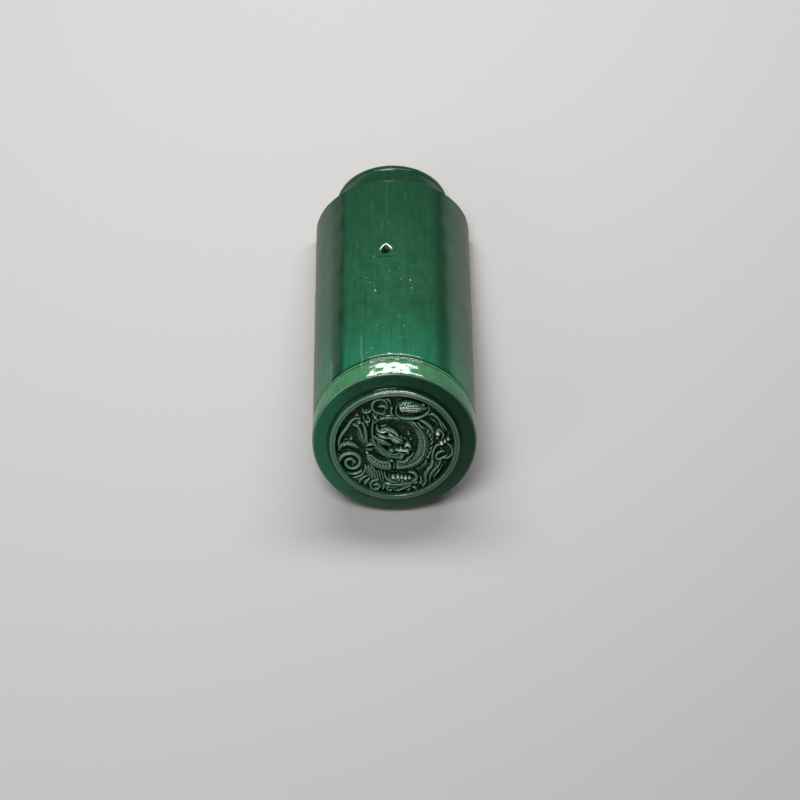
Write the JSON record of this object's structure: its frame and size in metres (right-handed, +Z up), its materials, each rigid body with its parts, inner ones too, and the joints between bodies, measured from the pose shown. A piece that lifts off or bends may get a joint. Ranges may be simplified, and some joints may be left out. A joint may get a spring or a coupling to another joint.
{
  "type": "glazed roof cap tile",
  "caption": "Round-ended glazed clay roof tile: a half-round barrel with a leaning end disc in dragon relief, a rear tongue and a nail hole, for closing a row of barrel tiles at the eave.",
  "frame": {"origin": "on the ground, below the middle of the tile's box as it lies on flat ground", "axes": "+Z up, +Y along the tile from the round disc to the tongue, +X to the right when looking at the disc"},
  "size_m": [0.1498, 0.342, 0.1342],
  "materials": {
    "green_glaze": "glossy lead glaze, thin over ridges and pooled dark in hollows, over a buff fired clay body that is bare inside and along the lower edges"
  },
  "bodies": {
    "root": {"cap_tile": "green_glaze"}
  },
  "joints": []
}
